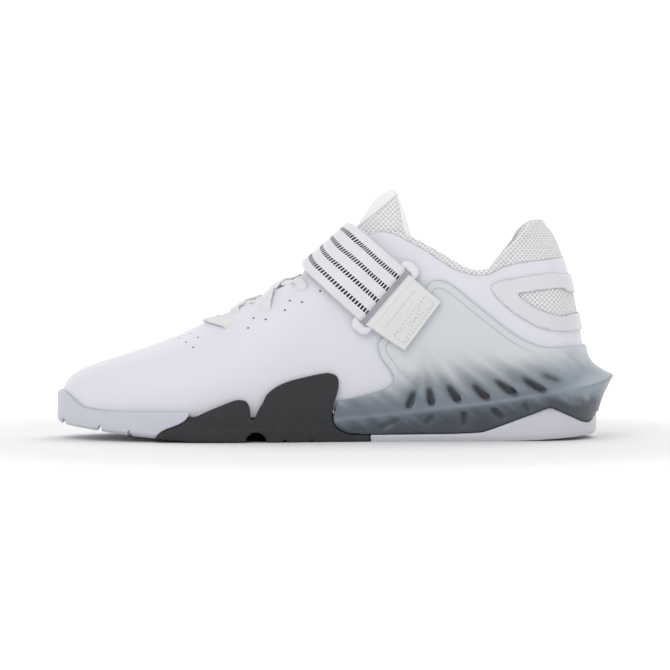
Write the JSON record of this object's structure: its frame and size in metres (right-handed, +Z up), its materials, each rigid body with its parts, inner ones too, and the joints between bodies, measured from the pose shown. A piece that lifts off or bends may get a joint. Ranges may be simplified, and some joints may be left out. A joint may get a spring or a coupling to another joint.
{
  "type": "weightlifting shoe",
  "caption": "Right weightlifting shoe with a knitted collar, instep strap through a ring, raised heel in a ribbed clear frame and a flat rubber sole.",
  "frame": {"origin": "on the floor under the middle of the shoe's length, on the sole's centre line", "axes": "+X towards the heel, -X towards the toe, -Y the inner side of the foot, +Z up"},
  "size_m": [0.2999, 0.107, 0.1347],
  "materials": {
    "upper_synthetic": "smooth white coated synthetic",
    "mesh_lining": "fine pale mesh",
    "pale_rubber": "matte pale grey rubber",
    "charcoal_foam": "matte speckled charcoal rubber",
    "frosted_frame": "frosted clear moulded plastic over a slate grey core",
    "white_rubber": "satin white rubber",
    "counter_film": "matte pale grey bonded film",
    "strap_synthetic": "white coated strap with dashed woven stripes",
    "ring_plastic": "white moulded plastic",
    "webbing": "off-white stitched webbing",
    "lace_weave": "flat white woven lace"
  },
  "bodies": {
    "root": {"upper": "upper_synthetic", "tongue": "mesh_lining", "insole": "mesh_lining", "toe_sole": "pale_rubber", "midsole": "charcoal_foam", "heel_frame": "frosted_frame", "heel_outsole": "white_rubber", "heel_counter": "counter_film", "strap": "strap_synthetic", "strap_ring": "ring_plastic", "keeper_webbing": "webbing", "laces": "lace_weave"}
  },
  "joints": []
}
